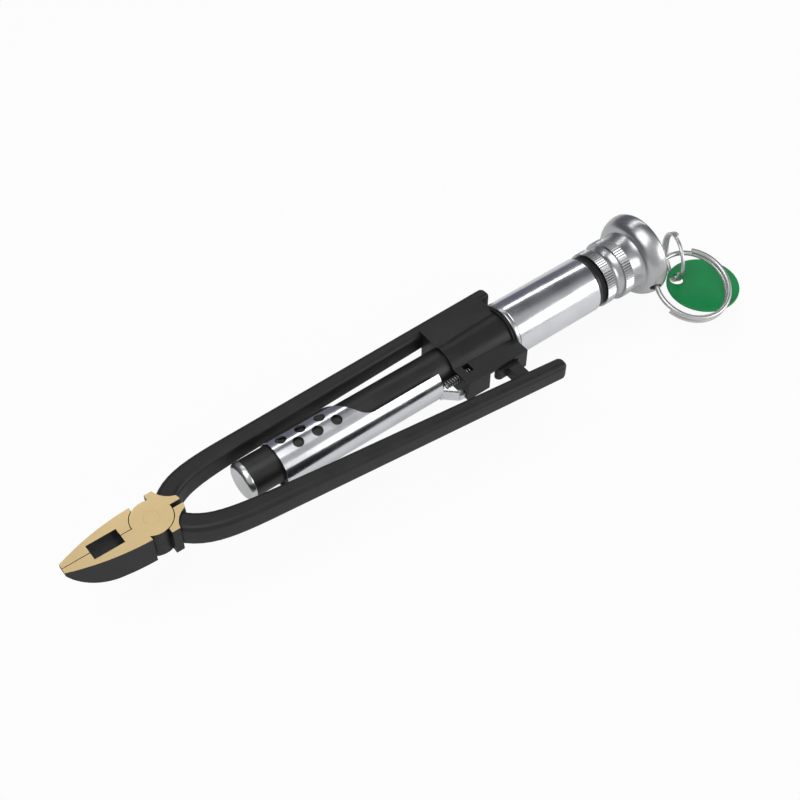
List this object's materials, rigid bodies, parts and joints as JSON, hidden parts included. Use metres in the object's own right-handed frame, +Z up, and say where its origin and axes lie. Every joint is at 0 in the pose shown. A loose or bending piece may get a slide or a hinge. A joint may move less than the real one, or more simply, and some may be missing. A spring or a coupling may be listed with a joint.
{
  "type": "safety wire pliers",
  "caption": "Safety wire pliers with gold-faced jaws, black handles, a latching twister barrel, a chrome grip, a turned pull knob and a green tag on a split ring.",
  "frame": {"origin": "On the underside of the head, under the middle of the pivot rivet.", "axes": "+X along the barrel axis from the jaws to the pull knob, +Z up out of the ground top face of the head, +Y to the handle that is pinned to the bracket."},
  "size_m": [0.3153, 0.0608, 0.0389],
  "materials": {
    "phosphated_steel": "black phosphate on the forging, ground bright gold on the head's top face",
    "black_casting": "semi-gloss black enamel on a casting",
    "black_tube": "satin black oxide",
    "chrome_plate": "bright plating with fine scuffs along the tube",
    "satin_steel": "turned satin steel",
    "dark_steel": "dark oxide",
    "spring_steel": "drawn spring steel",
    "ring_wire": "nickel plated wire",
    "brass_nut": "machined brass",
    "black_plastic": "matte moulded plastic",
    "black_rubber": "matte moulded rubber",
    "green_tag": "gloss green enamel"
  },
  "bodies": {
    "fixed_side": {"pinned_handle": "phosphated_steel", "pivot_rivet": "phosphated_steel", "body_bracket": "black_casting", "bracket_pins": "black_casting", "front_tube": "black_tube", "front_cap": "chrome_plate", "front_guide_ring": "black_plastic", "rear_guide_ring": "black_plastic", "latch_spring": "spring_steel", "spring_seat": "dark_steel", "return_spring": "spring_steel", "grip_tube": "chrome_plate", "retaining_ring": "satin_steel", "end_bush": "dark_steel", "drive_nut": "brass_nut", "rubber_bumper": "black_rubber"},
    "hooked_side": {"hooked_handle": "phosphated_steel"},
    "lock_slider": {"lock_sleeve": "chrome_plate", "latch_bolt": "chrome_plate"},
    "rod_carriage": {"rod_guide": "black_plastic"},
    "spindle": {"spiral_rod": "spring_steel", "rod_end_screw": "dark_steel", "pull_knob": "satin_steel"},
    "key_ring": {"split_ring": "ring_wire"},
    "tag_link": {"tag_ring": "ring_wire"},
    "tag": {"id_tag": "green_tag"}
  },
  "joints": [
    {"name": "jaw_pivot", "type": "hinge", "parent": "fixed_side", "child": "hooked_side", "pos_m": [0, 0, 0.0065], "axis": [0, 0, -1], "range_deg": [0, 22]},
    {"name": "lock_slide", "type": "slide", "parent": "fixed_side", "child": "lock_slider", "axis": [-1, 0, 0], "range_m": [0, 0.005], "stiffness_N_per_m": 800, "springref_m": -0.003, "deforming": ["latch_spring"]},
    {"name": "knob_pull", "type": "slide", "parent": "fixed_side", "child": "rod_carriage", "axis": [1, 0, 0], "range_m": [0, 0.065], "stiffness_N_per_m": 60, "springref_m": -0.03, "deforming": ["return_spring"]},
    {"name": "rod_twist", "type": "hinge", "parent": "rod_carriage", "child": "spindle", "pos_m": [0, 0, 0.00375], "axis": [1, 0, 0], "range_deg": [0, 590]},
    {"name": "ring_swing", "type": "hinge", "parent": "spindle", "child": "key_ring", "pos_m": [0.24049, -0.01287, -0.00003], "axis": [0.7314, 0.6486, 0.2107], "range_deg": [-10, 30]},
    {"name": "tag_ring_swing", "type": "hinge", "parent": "key_ring", "child": "tag_link", "pos_m": [0.25745, -0.0094, 0.00109], "axis": [0.9063, -0.4226, 0], "range_deg": [0, 25]},
    {"name": "tag_swing", "type": "hinge", "parent": "tag_link", "child": "tag", "pos_m": [0.25659, -0.01154, -0.01355], "axis": [0.7986, 0.6018, 0], "range_deg": [0, 20]}
  ],
  "couplings": [
    {"joint": "rod_twist", "follows": "knob_pull", "rad_per_m": 157.08}
  ]
}
